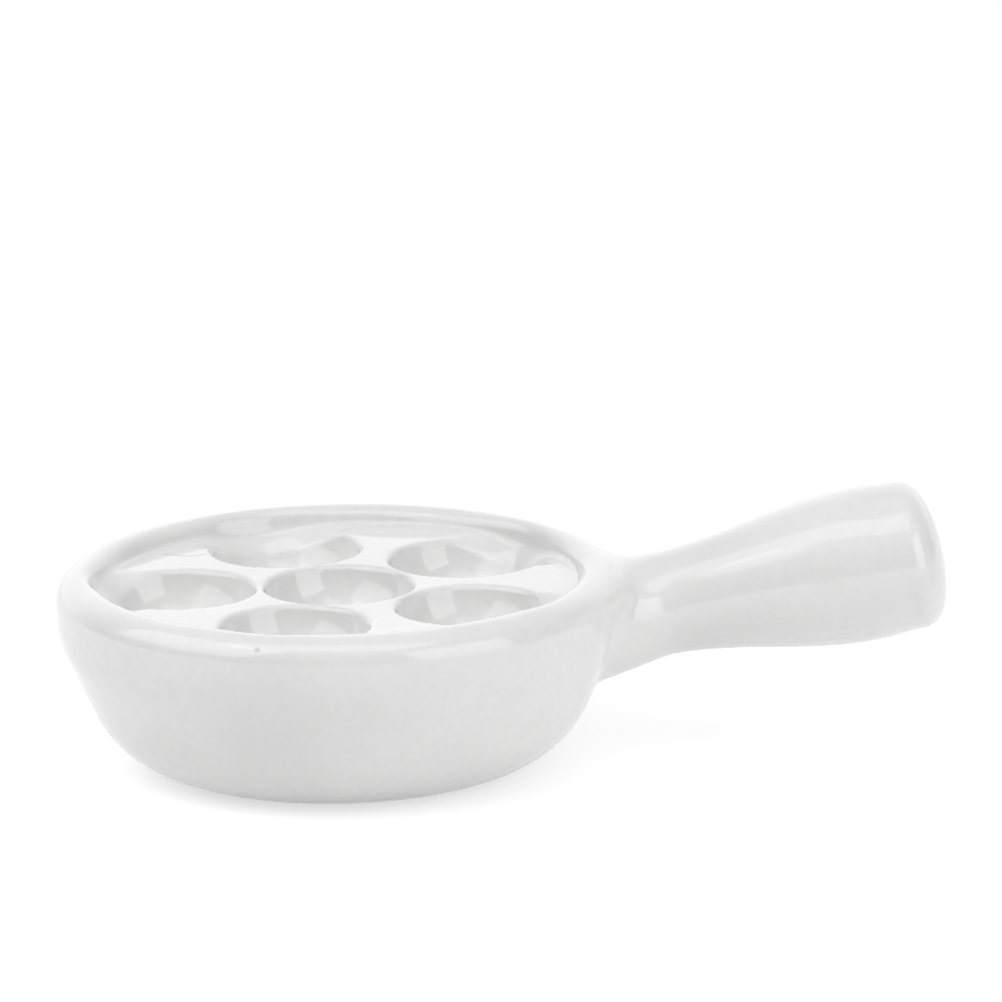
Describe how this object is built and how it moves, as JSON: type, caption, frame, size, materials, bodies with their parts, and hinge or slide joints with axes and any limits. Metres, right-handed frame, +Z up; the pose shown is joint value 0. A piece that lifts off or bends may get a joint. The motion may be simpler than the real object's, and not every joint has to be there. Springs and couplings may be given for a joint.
{
  "type": "escargot plate",
  "caption": "Round glazed ceramic plate with deep round wells inside a heavy rolled rim, and a raised stick handle.",
  "frame": {"origin": "where the bowl's axis meets the table, in the plane of the foot ring", "axes": "+X from the bowl's axis towards the handle's tip, +Z up along the bowl's axis"},
  "size_m": [0.2075, 0.132, 0.0624],
  "materials": {
    "glaze": "gloss"
  },
  "bodies": {
    "root": {"plate": "glaze"}
  },
  "joints": []
}
